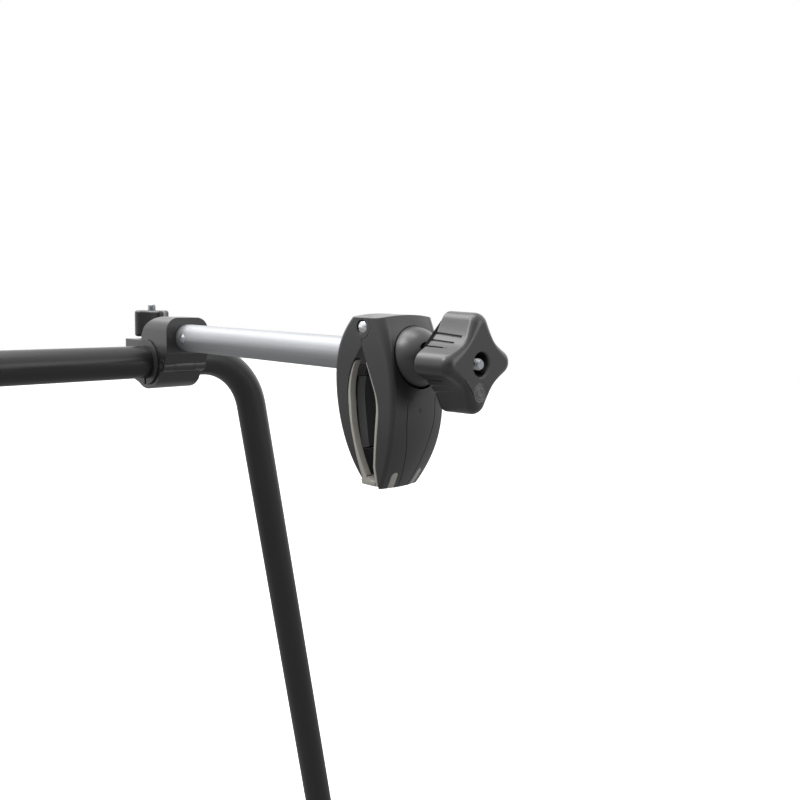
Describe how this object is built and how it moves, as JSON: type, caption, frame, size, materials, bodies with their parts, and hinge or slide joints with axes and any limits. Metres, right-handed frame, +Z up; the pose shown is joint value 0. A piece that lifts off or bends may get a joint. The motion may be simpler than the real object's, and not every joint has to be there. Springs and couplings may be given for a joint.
{
  "type": "bike frame holder with bow",
  "caption": "Two-jaw bike frame clamp with star knob on a silver arm, held by a bow clamp on a black U-shaped bow, the upper part of a towbar bike carrier.",
  "frame": {"origin": "midway between the two foot bores, on their common axis", "axes": "+X along the top of the bow, -Y towards the bikes, +Z up"},
  "size_m": [0.674, 0.4272, 0.6401],
  "materials": {
    "black_tube": "satin black powder coat",
    "silver_tube": "satin anodised",
    "charcoal_plastic": "fine-grained moulded plastic",
    "black_plastic": "moulded plastic",
    "grey_rubber": "soft light grey",
    "black_rubber": "soft black",
    "bright_steel": "polished",
    "zinc_steel": "zinc plated",
    "brass": "machined"
  },
  "bodies": {
    "bow": {"bow_tube": "black_tube", "left_foot_plug": "black_plastic", "left_foot_sleeve": "zinc_steel", "right_foot_plug": "black_plastic", "right_foot_sleeve": "zinc_steel"},
    "bush": {"bow_bush": "black_plastic"},
    "arm": {"clamp_housing": "charcoal_plastic", "arm_tube": "silver_tube", "arm_spigot": "black_plastic", "cross_rivet": "zinc_steel", "spigot_screw": "zinc_steel", "swivel_plug": "black_plastic", "swivel_screw": "zinc_steel"},
    "claw": {"clamp_claw": "charcoal_plastic", "claw_pin": "zinc_steel"},
    "clamp_bolt": {"swing_bolt": "zinc_steel", "bolt_barrel": "zinc_steel"},
    "clamp_thrust": {"clamp_washer": "zinc_steel"},
    "clamp_grip": {"clamp_knob": "charcoal_plastic", "clamp_insert": "brass"},
    "rear": {"rear_jaw": "charcoal_plastic", "rear_lip": "grey_rubber", "rear_pad": "black_rubber", "hinge_pin": "bright_steel", "pin_cap": "bright_steel"},
    "front": {"front_jaw": "charcoal_plastic", "front_lip": "grey_rubber", "front_pad": "black_rubber", "thrust_dome": "charcoal_plastic", "left_lip_clip": "grey_rubber", "right_lip_clip": "grey_rubber"},
    "rod": {"tension_rod": "zinc_steel", "rod_trunnion": "zinc_steel"},
    "thrust": {"thrust_washer": "zinc_steel"},
    "grip": {"knob": "charcoal_plastic", "knob_insert": "brass", "knob_disc": "black_plastic"}
  },
  "joints": [
    {"name": "clamp_slide", "type": "slide", "parent": "bow", "child": "bush", "axis": [1, 0, 0], "range_m": [-0.241, 0.009]},
    {"name": "arm_tilt", "type": "hinge", "parent": "bush", "child": "arm", "pos_m": [0.116, 0, 0.56], "axis": [1, 0, 0], "range_deg": [-75, 75]},
    {"name": "head_swivel", "type": "hinge", "parent": "arm", "child": "rear", "pos_m": [0.116, -0.279, 0.5839], "axis": [0, 1, 0], "range_deg": [-180, 180]},
    {"name": "jaw_open", "type": "hinge", "parent": "rear", "child": "front", "pos_m": [0.116, -0.297, 0.6056], "axis": [-1, 0, 0], "range_deg": [0, 35]},
    {"name": "rod_swing", "type": "hinge", "parent": "rear", "child": "rod", "pos_m": [0.116, -0.2885, 0.5846], "axis": [-1, 0, 0], "range_deg": [0, 27.4]},
    {"name": "knob_travel", "type": "slide", "parent": "rod", "child": "thrust", "axis": [0, -1, 0], "range_m": [0, 0.0126]},
    {"name": "knob_turn", "type": "hinge", "parent": "thrust", "child": "grip", "pos_m": [0.116, -0.357, 0.5846], "axis": [0, -1, 0], "range_deg": [0, 3600]},
    {"name": "claw_open", "type": "hinge", "parent": "arm", "child": "claw", "pos_m": [0.116, -0.025, 0.558], "axis": [-1, 0, 0], "range_deg": [0, 14.1]},
    {"name": "bolt_swing", "type": "hinge", "parent": "claw", "child": "clamp_bolt", "pos_m": [0.116, 0.028, 0.552], "axis": [1, 0, 0], "range_deg": [0, 9.9]},
    {"name": "clamp_knob_travel", "type": "slide", "parent": "clamp_bolt", "child": "clamp_thrust", "axis": [0, 0, 1], "range_m": [0, 0.0138]},
    {"name": "clamp_knob_turn", "type": "hinge", "parent": "clamp_thrust", "child": "clamp_grip", "pos_m": [0.116, 0.028, 0.59], "axis": [0, 0, 1], "range_deg": [0, 3960]}
  ],
  "couplings": [
    {"joint": "knob_travel", "follows": "knob_turn", "m_per_rad": 0.00019894},
    {"joint": "jaw_open", "follows": "knob_turn", "ratio": 0.0097222},
    {"joint": "rod_swing", "follows": "knob_turn", "ratio": 0.0075833},
    {"joint": "clamp_knob_travel", "follows": "clamp_knob_turn", "m_per_rad": 0.00019894},
    {"joint": "claw_open", "follows": "clamp_knob_turn", "ratio": 0.0035354},
    {"joint": "bolt_swing", "follows": "clamp_knob_turn", "ratio": 0.0024672}
  ]
}
